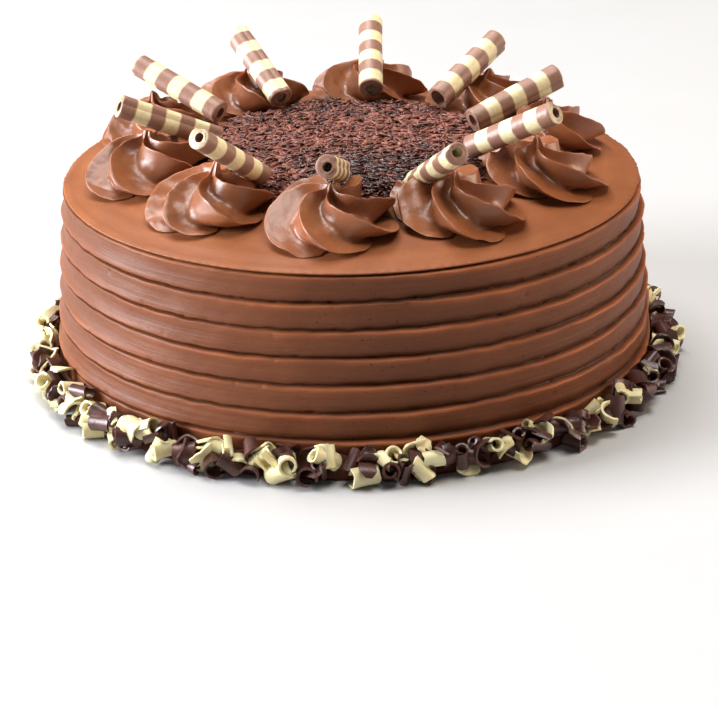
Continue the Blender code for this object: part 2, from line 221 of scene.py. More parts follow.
# Share of each kind of curl, and its least and most radius in mm, arc in degrees and half width in mm
CURL_KINDS = {
    "roll": (0.46, (2.7, 4.2), (290, 430), (3.8, 5.8)),
    "petal": (0.34, (3.4, 5.2), (130, 215), (3.8, 5.8)),
    "flake": (0.20, (5.0, 8.0), (60, 100), (3.2, 5.0)),
}
# Round a curl's cross-section: shares of its half width and of its thickness
CURL_SECTION = (
    (-1, 0.12), (-0.96, 0.0), (0, -0.06), (0.96, 0.0), (1, 0.12), (1, 0.88), (0, 1.0), (-1, 0.88),
)
# How a curl is laid: the turns tried, its most pitch, how far out it may come, how deep it may sink in mm,
# its top as a share of the heap's and how far in mm it may stand over that
CURL_TRIES = 7
CURL_PITCH = 1.3
CURL_REACH = 0.1364
CURL_SINK = (0.8, 2.4)
CURL_TOPS = (0.86, 1.06)
CURL_OVER_TOP = 1.5
CURL_SHARP = 50
# Share of dark curls on average, and how much larger it is on the right and smaller on the left
DARK_CURLS = 0.62
DARK_CURLS_SWING = 0.20
# Distance from the axis and height of the dark ring behind the curls: painted shade in the gaps between them
CORE_PROFILE = (
    (0.1224, 0.0003), (0.1254, 0.0003), (0.1260, 0.0020), (0.1252, 0.0050), (0.1238, 0.0078),
    (0.1222, 0.0088),
)
CORE_COLUMNS = 240
CORE_ROUGH = 0.6
# The heap's outer edge, its height beside the cake, and how far and how steeply it falls to the edge
HEAP_EDGE = 0.1345
HEAP_TOP = 0.0178
HEAP_FALL = 0.0095
HEAP_POWER = 1.3
# The grid of heights that curls come to lie on: the size of its cells, and how far it reaches
HEAP_CELL = 0.001
HEAP_REACH = 0.142

# The icing's shades on the top and the rosettes, and how much darker the side is in red, green and blue, as
# painted shade
ICING_SHADES = ((0.30, (0.184, 0.057, 0.019)), (0.52, (0.240, 0.077, 0.026)), (0.72, (0.300, 0.103, 0.037)))
SIDE_PAINTED_SHADE = (0.60, 0.54, 0.51)
# Colour of the small dark specks on the side: painted shade in small pits
PIT_PAINTED_SHADE = (0.085, 0.022, 0.009, 1.0)
STRIPE_BROWN = (0.28, 0.145, 0.10)
STRIPE_IVORY = (0.78, 0.68, 0.41)
# Dark, middle and light shade of each chocolate, then its roughness, its gloss and how much light it lets in
CHOCOLATES = {
    "dark_sprinkles": ((0.024, 0.006, 0.004), (0.042, 0.011, 0.007), (0.070, 0.020, 0.013), 0.28, 0.50, 0.0),
    "milk_sprinkles": ((0.125, 0.036, 0.022), (0.190, 0.060, 0.039), (0.290, 0.102, 0.070), 0.40, 0.50, 0.0),
    "sprinkle_core": ((0.050, 0.014, 0.009), (0.085, 0.026, 0.016), (0.125, 0.040, 0.025), 0.80, 0.12, 0.0),
    "dark_curls": ((0.034, 0.010, 0.007), (0.058, 0.017, 0.012), (0.090, 0.030, 0.021), 0.36, 0.50, 0.0),
    "ivory_curls": ((0.62, 0.53, 0.27), (0.70, 0.62, 0.35), (0.76, 0.69, 0.43), 0.44, 0.50, 0.2),
}
FLOOR_SHADES = ((0.3, (0.455, 0.455, 0.455)), (0.7, (0.47, 0.47, 0.47)))
# The surroundings, from level upwards
SKY_SHADES = ((0.0, (0.7, 0.7, 0.7)), (0.05, (0.3, 0.3, 0.3)), (0.25, (0.10, 0.103, 0.106)))

# Name, azimuth, elevation, size, power and colour of every light
LIGHTS = (
    ("key", -87, 14, 1.2, 132.0, (0.96, 0.99, 1.05)),
    ("window", -142, 63, 1.1, 44.0, (1.0, 0.99, 0.98)),
    ("ceiling", 50, 80, 1.0, 38.0, (1.0, 0.97, 0.93)),
    ("rim", 96, 16, 1.0, 30.0, (1.0, 0.80, 0.62)),
)
LIGHT_DISTANCE = 2.2
LIT_HEIGHT = 0.05
FLOOR_HALF = 20.0

# The camera
SENSOR_WIDTH = 36.0
IMAGE_WIDTH = 718
FOCAL_PIXELS = 2254
CAMERA_DISTANCE = 7.5 * RIM_RADIUS
CAMERA_ELEVATION = math.radians(18.6)
CAMERA_PITCH = math.radians(23.19)
CAMERA_ROLL = math.radians(-1.17)
CAMERA_YAW = math.radians(-0.11)


def direction(azimuth):
    """The level unit vector that points away from the axis at this azimuth."""
    angle = math.radians(azimuth)
    return np.array((math.sin(angle), -math.cos(angle), 0.0))


def side_radius(height):
    return RIM_RADIUS + SIDE_FLARE * (CREASE_HEIGHT - height) / CREASE_HEIGHT


def top_height(radius):
    share = np.minimum(np.asarray(radius) / RIM_RADIUS, 1.0)
    return CREASE_HEIGHT + LIP_HEIGHT + DOME_HEIGHT * (1.0 - share**DOME_POWER)


def smooth_step(value):
    value = np.clip(value, 0.0, 1.0)
    return value * value * (3.0 - 2.0 * value)


def smooth_curve(points, count):
    """Points on a smooth curve through the given ones."""
    points = np.array(points, dtype=float)
    ends = (2 * points[0] - points[1], 2 * points[-1] - points[-2])
    padded = np.vstack((ends[0], points, ends[1]))
    place = np.linspace(0, len(points) - 1, count)
    index = np.minimum(place.astype(int), len(points) - 2)
    t = (place - index)[:, None]
    a, b, c, d = (padded[index + k] for k in range(4))
    return 0.5 * (2 * b + (c - a) * t + (2 * a - 5 * b + 4 * c - d) * t**2 + (3 * b - a - 3 * c + d) * t**3)


def ripple(draw, angles, slowest, fastest, waves=9):
    """A wavering value, mostly between -1 and 1, that closes after a full turn."""
    total = np.zeros_like(angles)
    for _ in range(waves):
        total = total + np.cos(int(draw.integers(slowest, fastest)) * angles + draw.uniform(0, 2 * np.pi))
    return total / math.sqrt(waves)


def unevenness(draw, points, size, waves=14):
    """A wavering value in space, mostly between -1 and 1, with lumps of this size."""
    total = np.zeros(points.shape[:-1])
    for _ in range(waves):
        axis = draw.normal(size=3)
        axis *= 2 * np.pi / (size * draw.uniform(0.7, 1.6) * np.linalg.norm(axis))
        total = total + np.sin(points @ axis + draw.uniform(0, 2 * np.pi))
    return total / math.sqrt(waves)


def ripples(draw, angles, parts):
    """Waverings of several sizes added up."""
    return sum(size * ripple(draw, angles, slowest, fastest) for size, slowest, fastest in parts)


def lumpy(draw, points, parts):
    """Lumps of several sizes added up, as a height in metres."""
    return sum(unevenness(draw, points, size) * height * MM for size, height in parts)


def around(radius, angles, height):
    """Points this far from the axis and this high."""
    return np.stack((radius * np.cos(angles), radius * np.sin(angles), height), axis=-1)


def ring_faces(rows, columns):
    """Quads between neighbouring rows of points that each run round a closed ring."""
    row, column = np.meshgrid(np.arange(rows - 1), np.arange(columns), indexing="ij")
    after = (column + 1) % columns
    lower, upper = row * columns, (row + 1) * columns
    quads = np.stack((lower + column, lower + after, upper + after, upper + column), axis=-1)
    return quads.reshape(-1, 4)


def add_object(name, data):
    obj = bpy.data.objects.new(name, data)
    bpy.context.scene.collection.objects.link(obj)
    return obj


def add_piece(name, points, faces, material):
    """A smooth shaded object that rides on the cake; faces are lists of point numbers."""
    mesh = bpy.data.meshes.new(name)
    mesh.from_pydata(np.asarray(points).reshape(-1, 3).tolist(), [], faces)
    mesh.shade_smooth()
    mesh.materials.append(material)
    obj = add_object(name, mesh)
    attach(obj, "root")
    return obj


def lofted(rings):
    """Points and faces of a closed skin through rings of equally many points, rows by columns."""
    rows, columns = rings.shape[:2]
    faces = ring_faces(rows, columns).tolist()
    faces.append(list(range(columns))[::-1])
    faces.append(list(range((rows - 1) * columns, rows * columns)))
    return rings.reshape(-1, 3), faces


# Materials


def new_material(name):
    material = bpy.data.materials.new(name)
    material.use_nodes = True
    tree = material.node_tree
    return material, tree, tree.nodes["Principled BSDF"]


def add_node(tree, kind, **values):
    """A node with its settings, and its sockets by name with underscores for blanks."""
    node = tree.nodes.new(kind)
    for name, value in values.items():
        socket = node.inputs.get(name.replace("_", " "))
        if hasattr(node, name):
            setattr(node, name, value)
        else:
            socket.default_value = value
    return node


def noise(tree, vector, scale, detail=3.0, roughness=0.55):
    node = add_node(tree, "ShaderNodeTexNoise", Scale=scale, Detail=detail, Roughness=roughness)
    tree.links.new(vector, node.inputs["Vector"])
    return node.outputs["Fac"]


def ramp(tree, factor, stops):
    """A colour ramp through (place, colour) stops."""
    node = tree.nodes.new("ShaderNodeValToRGB")
    elements = node.color_ramp.elements
    while len(elements) < len(stops):
        elements.new(0.5)
    for element, (place, colour) in zip(elements, stops):
        element.position = place
        element.color = (*colour, 1.0)
    tree.links.new(factor, node.inputs["Fac"])
    return node.outputs["Color"]


def math_node(tree, operation, first, second):
    node = tree.nodes.new("ShaderNodeMath")
    node.operation = operation
    for socket, value in zip(node.inputs, (first, second)):
        if isinstance(value, (int, float)):
            socket.default_value = value
        else:
            tree.links.new(value, socket)
    return node.outputs["Value"]


def blended(tree, first, first_share, second, second_share):
    """Two values added up in these shares."""
    first = math_node(tree, "MULTIPLY", first, first_share)
    return math_node(tree, "ADD", first, math_node(tree, "MULTIPLY", second, second_share))


def stretched(tree, scale):
    """Object coordinates stretched along the axes."""
    coordinates = tree.nodes.new("ShaderNodeTexCoord")
    mapping = add_node(tree, "ShaderNodeMapping", Scale=scale)
    tree.links.new(coordinates.outputs["Object"], mapping.inputs["Vector"])
    return mapping.outputs["Vector"]


def add_bump(tree, shader, height, distance):
    bump = add_node(tree, "ShaderNodeBump", Distance=distance, Strength=1.0)
    tree.links.new(height, bump.inputs["Height"])
    tree.links.new(bump.outputs["Normal"], shader.inputs["Normal"])


def scatter_light(shader, weight, radius, scale):
    shader.inputs["Subsurface Weight"].default_value = weight
    shader.inputs["Subsurface Radius"].default_value = radius
    shader.inputs["Subsurface Scale"].default_value = scale


def with_painted_pit_shade(tree, colour, vector):
    """The colour with small dark specks in loose groups: painted shade in small pits."""
    small = math_node(tree, "LESS_THAN", noise(tree, vector, 430.0, 1.0), 0.268)
    grouped = math_node(tree, "GREATER_THAN", noise(tree, vector, 30.0, 2.0), 0.50)
    specks = add_node(tree, "ShaderNodeMixRGB", blend_type="MIX", Color2=PIT_PAINTED_SHADE)
    tree.links.new(math_node(tree, "MULTIPLY", small, grouped), specks.inputs["Fac"])
    tree.links.new(colour, specks.inputs["Color1"])
    return specks.outputs["Color"]


def icing_material(name, streaks):
    """Milk chocolate buttercream: slightly glossy, warm inside, with fine grain and small air holes. The
    cake's side has streaks from the comb as well, and painted light: it is darker than the top as painted
    shade, with painted shade in small pits, in its grooves and in the crease, and painted highlights on its
    lips."""
    material, tree, shader = new_material(name)
    plain = stretched(tree, (1, 1, 1))
    cloudy = noise(tree, plain, 38.0, 4.0)
    grain = noise(tree, plain, 900.0, 3.0)
    mix = blended(tree, cloudy, 0.7, grain, 0.3)
    height = math_node(tree, "MULTIPLY", grain, 0.5)
    if streaks:
        comb = noise(tree, stretched(tree, (16, 16, 700)), 1.0, 5.0, 0.6)
        mix = blended(tree, mix, 0.6, comb, 0.4)
        height = math_node(tree, "ADD", height, math_node(tree, "MULTIPLY", comb, 2.4))
    colour = ramp(tree, mix, ICING_SHADES)
    if streaks:
        # The side's colours, darker than the top's as painted shade
        darker = [(place, tuple(np.multiply(shade, SIDE_PAINTED_SHADE))) for place, shade in ICING_SHADES]
        split = tree.nodes.new("ShaderNodeSeparateXYZ")
        tree.links.new(plain, split.inputs["Vector"])
        above = math_node(tree, "SUBTRACT", split.outputs["Z"], CREASE_HEIGHT - MM)
        above = math_node(tree, "MULTIPLY", above, 800.0)
        above.node.use_clamp = True
        both = add_node(tree, "ShaderNodeMixRGB", blend_type="MIX")
        tree.links.new(above, both.inputs["Fac"])
        tree.links.new(with_painted_pit_shade(tree, ramp(tree, mix, darker), plain), both.inputs["Color1"])
        tree.links.new(colour, both.inputs["Color2"])
        # Painted light from the rows: painted shade in the grooves and the crease, painted highlights on the
        # lips
        painted_light_mix = add_node(tree, "ShaderNodeMixRGB", blend_type="MULTIPLY", Fac=1.0)
        painted_light = add_node(tree, "ShaderNodeAttribute", attribute_name="painted_light")
        tree.links.new(both.outputs["Color"], painted_light_mix.inputs["Color1"])
        tree.links.new(painted_light.outputs["Fac"], painted_light_mix.inputs["Color2"])
        colour = painted_light_mix.outputs["Color"]
    tree.links.new(colour, shader.inputs["Base Color"])
    holes = noise(tree, plain, 520.0, 1.0)
    pits = math_node(tree, "MULTIPLY", math_node(tree, "LESS_THAN", holes, 0.225), -3.0)
    add_bump(tree, shader, math_node(tree, "ADD", height, pits), 0.00012)
    gloss = math_node(tree, "ADD", math_node(tree, "MULTIPLY", cloudy, 0.16), 0.42 if streaks else 0.27)
    tree.links.new(gloss, shader.inputs["Roughness"])
    shader.inputs["Specular IOR Level"].default_value = 0.24 if streaks else 0.55
    scatter_light(shader, 0.16, (1.0, 0.35, 0.14), 0.003)
    return material


def stripe_material():
    """Ivory and milk chocolate stripes round the sticks, a little blurred where they meet."""
    material, tree, shader = new_material("striped_chocolate")
    along = add_node(tree, "ShaderNodeAttribute", attribute_name="along").outputs["Fac"]
    plain = stretched(tree, (1, 1, 1))
    waver = math_node(tree, "MULTIPLY", math_node(tree, "SUBTRACT", noise(tree, plain, 260.0), 0.5), 0.16)
    place = math_node(tree, "ADD", along, waver)
    wave = math_node(tree, "SINE", math_node(tree, "MULTIPLY", place, math.pi), 0.0)
    share = math_node(tree, "MULTIPLY_ADD", wave, 0.5)
    share.node.inputs[2].default_value = 0.5
    colour = ramp(tree, share, ((0.42, STRIPE_BROWN), (0.60, STRIPE_IVORY)))
    mottle = add_node(tree, "ShaderNodeMixRGB", blend_type="MULTIPLY", Fac=1.0)
    tree.links.new(colour, mottle.inputs["Color1"])
    shade = ramp(tree, noise(tree, plain, 700.0), ((0.3, (0.88, 0.85, 0.82)), (0.6, (1.0, 1.0, 1.0))))
    tree.links.new(shade, mottle.inputs["Color2"])
    tree.links.new(mottle.outputs["Color"], shader.inputs["Base Color"])
    add_bump(tree, shader, noise(tree, plain, 500.0), 0.00015)
    shader.inputs["Roughness"].default_value = 0.42
    scatter_light(shader, 0.12, (1.0, 0.7, 0.4), 0.0012)
    return material


def chocolate_material(name):
    """Chocolate in three close shades, with a fine grain."""
    *shades, roughness, specular, scatter = CHOCOLATES[name]
    material, tree, shader = new_material(name)
    plain = stretched(tree, (1, 1, 1))
    colour = ramp(tree, noise(tree, plain, 130.0), tuple(zip((0.34, 0.50, 0.66), shades)))
    tree.links.new(colour, shader.inputs["Base Color"])
    add_bump(tree, shader, noise(tree, plain, 450.0), 0.00016)
    shader.inputs["Roughness"].default_value = roughness
    shader.inputs["Specular IOR Level"].default_value = specular
    if scatter:
        scatter_light(shader, scatter, (1.0, 0.75, 0.4), 0.0015)
    return material


def floor_material():
    material, tree, shader = new_material("pale_floor")
    mottle = noise(tree, stretched(tree, (1, 1, 1)), 9.0)
    tree.links.new(ramp(tree, mottle, FLOOR_SHADES), shader.inputs["Base Color"])
    shader.inputs["Roughness"].default_value = 0.6
    return material


# The iced cake


def band_rows(angles, draw):
    """Height, stand-out and painted light of every row of points down the combed side, from the crease to
    the foot: painted shade by the grooves and painted highlights on the lips. Grooves waver a little, and
    the lips beside them swell and fade round the cake."""
    heights, offsets, painted_light_rows = [], [], []
    painted_light_shares, *painted_light_values = np.array(BAND_PAINTED_LIGHT).T
    grooves = []
    turned = angles + math.radians(180 - WIDE_GROOVES_AZIMUTH)
    widening = np.clip(0.5 + WIDENING * np.sin(turned), 0.0, 1.0)
    for band in range(BAND_COUNT + 1):
        level = CREASE_HEIGHT - band * BAND_HEIGHT
        waver = ripples(draw, angles, GROOVE_WAVER)
        grooves.append(level + waver * MM * (0.5 if band == 0 else 1.0))
    grooves.append(grooves[-1] - BAND_HEIGHT)
    for band in range(BAND_COUNT + 1):
        deep = 1.0 + ripples(draw, angles, GROOVE_DEPTH)
        swell = 1.0 + ripples(draw, angles, LIP_SWELL)
        belly = ripples(draw, angles, BAND_BELLY)
        for share, narrow, wide in BAND_SHAPE:
            height = grooves[band] * (1 - share) + grooves[band + 1] * share
            stand = narrow * (1 - widening) + wide * widening
            offset = stand * np.where(stand < 0, deep, swell) + belly * math.sin(math.pi * share)
            if height.min() < LOWEST_ROW:
                break
            # Painted light of this row: under 1 painted shade by the grooves, over 1 painted highlight on
            # the lips
            row_painted_light = [np.interp(share, painted_light_shares, values) for values in painted_light_values]
            row_painted_light = row_painted_light[0] * (1 - widening) + row_painted_light[1] * widening
            heights.append(height)
            offsets.append(offset * MM)
            painted_light_rows.append(np.where(row_painted_light > 1, 1 + (row_painted_light - 1) * np.clip(swell, *SWELL_PAINTED_HIGHLIGHT), row_painted_light))
    return heights, offsets, painted_light_rows


def cake_top_rows(angles, draw):
    """Rows of the domed top from its middle out to the lip over the crease, with a palette knife's
    shallow sweeps."""
    sweep = ripple(draw, angles, 2, 7)
    fine = ripple(draw, angles, 12, 40)
    rough = ripple(draw, angles, 60, 160)
    rows = []
    for share in np.concatenate((np.linspace(0.02, 0.84, 12), np.linspace(0.86, 0.985, 14))):
        radius = RIM_RADIUS * share * np.ones_like(angles)
        edge = smooth_step((share - 0.86) / 0.1)
        lift = KNIFE_SWEEP * sweep * share + edge * (KNIFE_FINE * fine + KNIFE_ROUGH * rough)
        lift = lift + KNIFE_RINGS * math.sin(share * 70) * smooth_step((share - 0.8) / 0.1)
        rows.append((radius, top_height(radius) + lift * MM))
    lip = ripples(draw, angles, RIM_WAVER)
    for inset, level in LIP_PATH:
        radius = RIM_RADIUS - (inset - lip * (0.3 + level * 0.4)) * MM
        rows.append((radius, CREASE_HEIGHT + level * LIP_HEIGHT + 0.3 * lip * level * MM))
    return rows


def tears(draw, heights):
    """How far small pits and nicks sink into each row of the side, mostly along the grooves."""
    depth = np.zeros_like(heights)
    shares = np.array(TEARS_IN_BANDS) / sum(TEARS_IN_BANDS)
    reach = np.arange(-TEAR_COLUMNS, TEAR_COLUMNS + 1)
    for _ in range(TEARS):
        column = int(draw.integers(CAKE_COLUMNS))
        band = int(draw.choice(BAND_COUNT, p=shares))
        level = CREASE_HEIGHT - band * BAND_HEIGHT + draw.choice(TEAR_SPREADS) * draw.normal(0.0, 1.0) * MM
        width, tall = draw.uniform(0.5, 1.5), draw.uniform(0.25, 0.5) * MM
        where = (column + reach) % CAKE_COLUMNS
        across = np.exp(-((reach * COLUMN_WIDTH / width) ** 2))
        along = np.exp(-(((heights[:, where] - level) / tall) ** 2))
        depth[:, where] += draw.choice(TEAR_DEPTHS) * MM * across * along
    return depth


def add_cake(material):
    draw = np.random.default_rng(3)
    angles = np.linspace(0, 2 * np.pi, CAKE_COLUMNS, endpoint=False)
    heights, offsets, painted_light_rows = (np.array(rows) for rows in band_rows(angles, draw))
    offsets = offsets - tears(draw, heights)
    wide = SIDE_SWELL * ripple(draw, angles, 1, 5) * MM
    radii = side_radius(heights) + offsets + wide * smooth_step((CREASE_HEIGHT - heights) / 0.02)
    skin = around(radii, angles, LUMP_STRETCH * heights)
    radii = radii + lumpy(draw, skin, SIDE_LUMPS)
    rows = cake_top_rows(angles, draw)
    plain = np.ones_like(angles)
    # Painted shade in the lip's last rows going into the crease; no painted light on the top or the foot
    lip = [row_painted_light * plain for row_painted_light in LIP_PAINTED_SHADE]
    painted_light_rows = np.array([plain] * (len(rows) - len(lip)) + [*lip, *painted_light_rows, plain, plain])
    rows += list(zip(radii, heights))
    foot = side_radius(0.0) * np.ones_like(angles)
    rows += [(foot, 0.0 * angles), (foot * 0.1, 0.0 * angles)]
    rings = np.array([around(radius, angles, height) for radius, height in rows])
    points, faces = lofted(rings[::-1])
    cake = add_piece("combed_buttercream", points, faces, material)
    # The painted light and shade of every point, read by the side's colour
    painted_light = cake.data.attributes.new("painted_light", "FLOAT", "POINT")
    painted_light.data.foreach_set("value", painted_light_rows[::-1].ravel().astype(np.float32))
    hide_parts("iced_cake")


# The rolled sticks


def roll_axis(row):
    """The middle of the stick's inner end and the unit vector along it, outwards and up."""
    azimuth, distance, height, heading, lift, _ = row
    start = direction(azimuth) * distance + (0, 0, height)
    rise = math.radians(lift)
    along = direction(heading) * math.cos(rise) + (0, 0, math.sin(rise))
    return start, along


def coil_outline(radius, turns, draw):
    """The coiled sheet's cross-section: out along its outer face and back along its inner face."""
    count = round(turns * ROLL_COLUMNS_A_TURN)
    turned = turns * np.linspace(0, 1, count + 1)
    angle = 2 * np.pi * turned
    rays = np.stack((np.cos(angle), np.sin(angle)), axis=-1)
    tuck = np.exp(-((turned / TUCK_TURNS) ** 2))
    outer = radius - ROLL_PITCH * np.minimum(turned, 1.0) ** 2
    outer = outer - 0.1 * ROLL_PITCH * np.maximum(turned - 1.0, 0.0)
    outer = outer - (ROLL_PITCH - TUCK_SHEET * MM) * tuck
    outer = outer + 0.04 * MM * np.sin(angle * 2 + draw.uniform(0, 6))
    sheet = ROLL_SHEET * (1.0 - 0.88 * tuck - 0.3 * np.exp((turned - turns) / 0.04))
    return np.concatenate((rays * outer[:, None], (rays * (outer - sheet)[:, None])[::-1]))


def add_roll(number, row, looks, material):
    draw = np.random.default_rng(40 + number)
    turns, turn, phase = looks
    outline = coil_outline(row[-1], turns, draw)
    shares = np.concatenate(([0.0, 0.006], np.linspace(0.03, 0.97, ROLL_ROWS), [0.994, 1.0]))
    rings = np.zeros((len(shares), len(outline), 3))
    angle = np.arctan2(outline[:, 1], outline[:, 0])
    ragged = [ripple(draw, angle, 1, 4) * ROLL_RAGGED * MM for _ in range(2)]
    for i, share in enumerate(shares):
        squeeze = 1.0 - 0.05 * (share in (0.0, 1.0))
        wobble = 1.0 + 0.009 * math.sin(share * 9 + number) + 0.005 * math.sin(share * 23 + 2 * number)
        rings[i, :, :2] = outline * squeeze * wobble
        rings[i, :, 2] = ROLL_LENGTH * share
        inner_end, outer_end = max(0.0, 1 - share * 8), max(0.0, share * 8 - 7)
        rings[i, :, 2] += ragged[0] * inner_end * 0.6 - ragged[1] * outer_end * 0.6
        rings[i, :, 2] = np.clip(rings[i, :, 2], 0.0, ROLL_LENGTH)
    count = len(outline)
    faces = ring_faces(len(shares), count).tolist()
    last = (len(shares) - 1) * count
    for i in range(count // 2 - 1):
        corners = [i, i + 1, count - 2 - i, count - 1 - i]
        faces.append(corners[::-1])
        faces.append([last + corner for corner in corners])
    points = rings.reshape(-1, 3)
    roll = add_piece(f"striped_roll_{number:02d}", points, faces, material)
    roll.data.set_sharp_from_angle(angle=math.radians(ROLL_SHARP))
    stripes = roll.data.attributes.new("along", "FLOAT", "POINT")
    stripes.data.foreach_set("value", (points[:, 2] / STRIPE + phase).astype(np.float32))
    start, along = roll_axis(row)
    facing = Vector(along).to_track_quat("Z", "Y").to_matrix().to_4x4()
    place = Matrix.Translation(Vector(start)) @ facing @ Matrix.Rotation(math.radians(turn), 4, "Z")
    roll.data.transform(place)
    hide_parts(f"chocolate_roll_{number:02d}")


def pressed_by_rolls(points):
    """The points moved down to the underside of any stick that lies on them."""
    for row in ROLLS:
        start, along = roll_axis(row)
        side = np.cross(along, (0, 0, 1))
        side /= np.linalg.norm(side)
        up = np.cross(side, along)
        relative = points - start
        reach, across, height = relative @ along, relative @ side, relative @ up
        radius = row[-1] + 1.5 * GAP
        off = np.abs(across)
        inside = (off < 1.7 * radius) & (reach > -GAP) & (reach < ROLL_LENGTH + GAP)
        bottom = np.where(off < radius, -np.sqrt(np.maximum(radius**2 - off**2, 0.0)), 1.3 * (off - radius))
        drop = np.where(inside, np.maximum(height - bottom, 0.0), 0.0)
        points = points - drop[..., None] * up
    return points


# The piped rosettes


def lobe_columns():
    """Angle of every column of a rosette, closest together at the crests, and how far it is down into
    the trough: from 0 on a thin crest steeply down to 1, then gently up to the next crest."""
    place = np.arange(LOBE_COLUMNS) / LOBE_COLUMNS
    place = place - CREST_CROWDING * np.sin(2 * np.pi * place)
    lobes = (np.arange(ROSETTE_LOBES)[:, None] + place).ravel()
    finer = np.arange(LOBE_SAMPLES) / LOBE_SAMPLES
    sharp = np.sin(np.pi * finer**LOBE_LEAN) ** LOBE_POWER
    apart = np.minimum(finer, 1.0 - finer)
    blur = np.exp(-((apart / CREST_ROUNDING) ** 2))
    rounded = np.real(np.fft.ifft(np.fft.fft(sharp) * np.fft.fft(blur / blur.sum())))
    rounded = (rounded - rounded.min()) / (rounded.max() - rounded.min())
    down = np.interp(place, finer, rounded, period=1.0)
    return 2 * np.pi * lobes / ROSETTE_LOBES, np.tile(down, ROSETTE_LOBES)


def contact_planes(number):
    """Where the next rosette on either side begins: a level unit vector and the distance along it."""
    row = ROSETTES[number]
    planes = []
    for other in (ROSETTES[number - 1], ROSETTES[(number + 1) % len(ROSETTES)]):
        apart = direction(other[0]) * other[1] - direction(row[0]) * row[1]
        length = np.linalg.norm(apart)
        planes.append((apart / length, length * row[2] / (row[2] + other[2]) - GAP))
    return planes


def add_rosette(number, material):
    """A star-tip swirl: thin-crested lobes with deep troughs that turn as they rise to a drawn-out tip,
    draped on the domed top, pressed by its neighbours and by the sticks."""
    azimuth, distance, radius, height, lean_x, lean_y, turn = ROSETTES[number]
    draw = np.random.default_rng(70 + number)
    foot = direction(azimuth) * distance
    swirl = SWIRL_SHARE[number]
    crests = smooth_curve(CREST_PATH, ROSETTE_ROWS)[::-1] * (1.0, swirl, 1.0)
    troughs = smooth_curve(TROUGH_PATH, ROSETTE_ROWS)[::-1] * (1.0, swirl)
    angle, down = lobe_columns()
    uneven = 1.0 + 0.03 * ripple(draw, angle, 1, 5)
    deeper = np.clip(0.96 + 0.10 * ripple(draw, angle, 1, 5), 0.0, 1.12)
    wander = 0.09 * ripple(draw, angle, 1, 4)
    more_turn = draw.uniform(0.92, 1.08)
    spread = ripple(draw, angle, 2, 7)
    lumps = np.zeros_like(angle)
    for place in draw.uniform(0, 2 * np.pi, FOOT_LUMPS):
        apart = np.abs((angle - place + np.pi) % (2 * np.pi) - np.pi)
        lumps += draw.uniform(0.4, 1.2) * np.exp(-((apart / FOOT_LUMP_WIDTH) ** 2))
    tip = [(share, swirl * (1 - part) + part) for share, part in TIP_PATH]
    rings = np.zeros((ROSETTE_ROWS + len(tip) + 2, len(angle), 3))
    for i in range(len(rings)):
        row = min(max(i - 2, 0), ROSETTE_ROWS - 1)
        crest, trough = crests[row], troughs[row]
        sunk = down * deeper
        share = crest[0] * (1 - sunk) + trough[0] * sunk
        level = crest[1] * (1 - sunk) + trough[1] * sunk
        if i < 2:
            share = share * (0.1, 0.8)[i]
            level = 0.0 * level
        if i >= ROSETTE_ROWS + 2:
            share, level = tip[i - ROSETTE_ROWS - 2]
            share = share * (1 - 0.35 * down)
        squeezed = (FOOT_SPREAD * spread + FOOT_LUMP_SPREAD * lumps) * math.exp(-FOOT_FADE * crest[1])
        reach = radius * share * uneven * (1.0 + squeezed)
        spin = math.radians(turn + crest[2] * more_turn) + wander
        spin = spin + CREST_SKEW * (1.0 - down) * smooth_step(crest[0] * 1.5)
        rings[i, :, 0] = np.cos(angle + spin) * reach + lean_x * level
        rings[i, :, 1] = np.sin(angle + spin) * reach + lean_y * level
        rings[i, :, 2] = level
    for normal, limit in contact_planes(number):
        over = np.maximum(rings @ np.array((normal[0], normal[1], 0.0)) - limit, 0.0)
        rings = rings - over[..., None] * normal
    rings[..., :2] += foot[:2]
    ground = top_height(np.hypot(rings[..., 0], rings[..., 1])) + GAP
    rings[..., 2] = ground + height * rings[..., 2]
    rough = lumpy(draw, rings, ROSETTE_LUMPS)
    rings[..., 2] += rough * np.minimum(1.0, (rings[..., 2] - ground) / MM)
    rings = pressed_by_rolls(rings)
    rings[..., 2] = np.maximum(rings[..., 2], ground)
    points, faces = lofted(rings)
    rosette = add_piece(f"piped_rosette_{number + 1:02d}", points, faces, material)
    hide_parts(f"rosette_{number + 1:02d}")


# The bed of sprinkles


def bed_reach(angle):
    """How far the sprinkles spread in this direction: to the bed's edge, or to the nearest rosette."""
    ray = np.array((math.cos(angle), math.sin(angle), 0.0))
    reach = BED_RADIUS
    for row in ROSETTES:
        foot = direction(row[0]) * row[1]
        clear = row[2] * 0.97
        along = float(foot @ ray)
        off = float(np.linalg.norm(foot - ray * along))
        if along > 0 and off < clear:
            reach = min(reach, along - math.sqrt(clear**2 - off**2))
    return reach


def bed_height(radius, reach):
    """Height of the heaped sprinkles, which thin out towards their edge."""
    full = BED_THICKNESS * smooth_step((reach - radius) / BED_EDGE)
    return top_height(radius) + GAP + full


def bed_reaches():
    angles = np.linspace(-np.pi, np.pi, BED_COLUMNS, endpoint=False)
    return angles, np.array([bed_reach(angle) for angle in angles])


